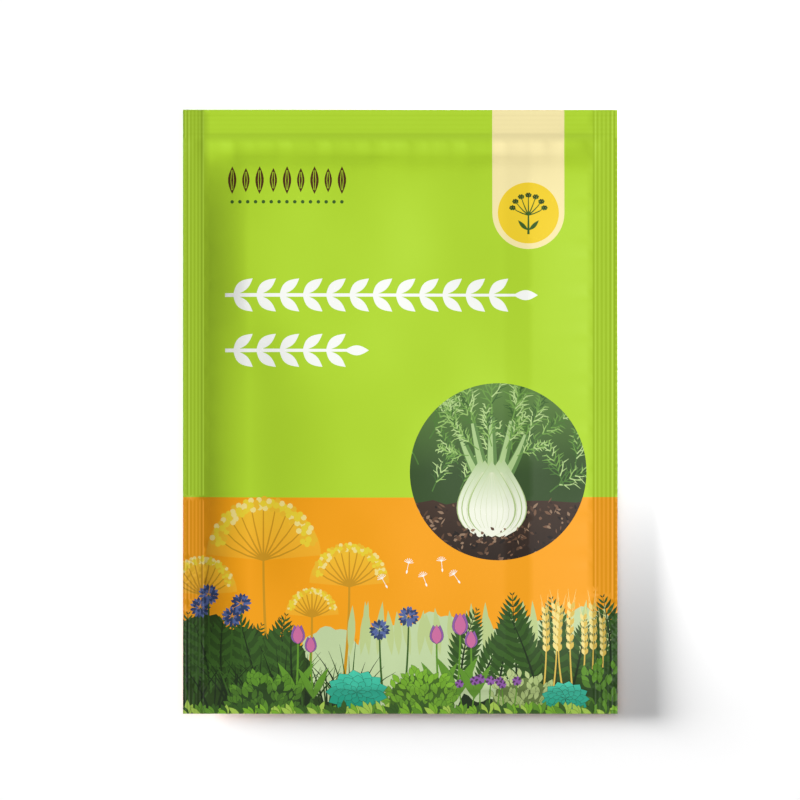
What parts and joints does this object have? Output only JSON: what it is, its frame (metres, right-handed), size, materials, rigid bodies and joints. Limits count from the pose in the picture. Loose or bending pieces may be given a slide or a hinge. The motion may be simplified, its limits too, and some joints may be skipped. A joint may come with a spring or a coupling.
{
  "type": "seed packet",
  "caption": "Flat rectangular printed film seed packet, heat-sealed with fine pressed ribs on all four sides, lying on its back and filled with loose fennel seeds.",
  "frame": {"origin": "on the surface the packet lies on, under the middle of its outline", "axes": "+X across the packet's width to its right, +Y up its height to its top seal, +Z out of its printed front"},
  "size_m": [0.1, 0.139, 0.0083],
  "materials": {
    "printed_film_front": "satin printed plastic film, lime with an orange lower band",
    "printed_film_back": "satin printed plastic film",
    "fennel_seed": "dry, ribbed, greenish brown"
  },
  "bodies": {
    "root": {"front_web": "printed_film_front", "back_web": "printed_film_back", "seeds": "fennel_seed"}
  },
  "joints": []
}
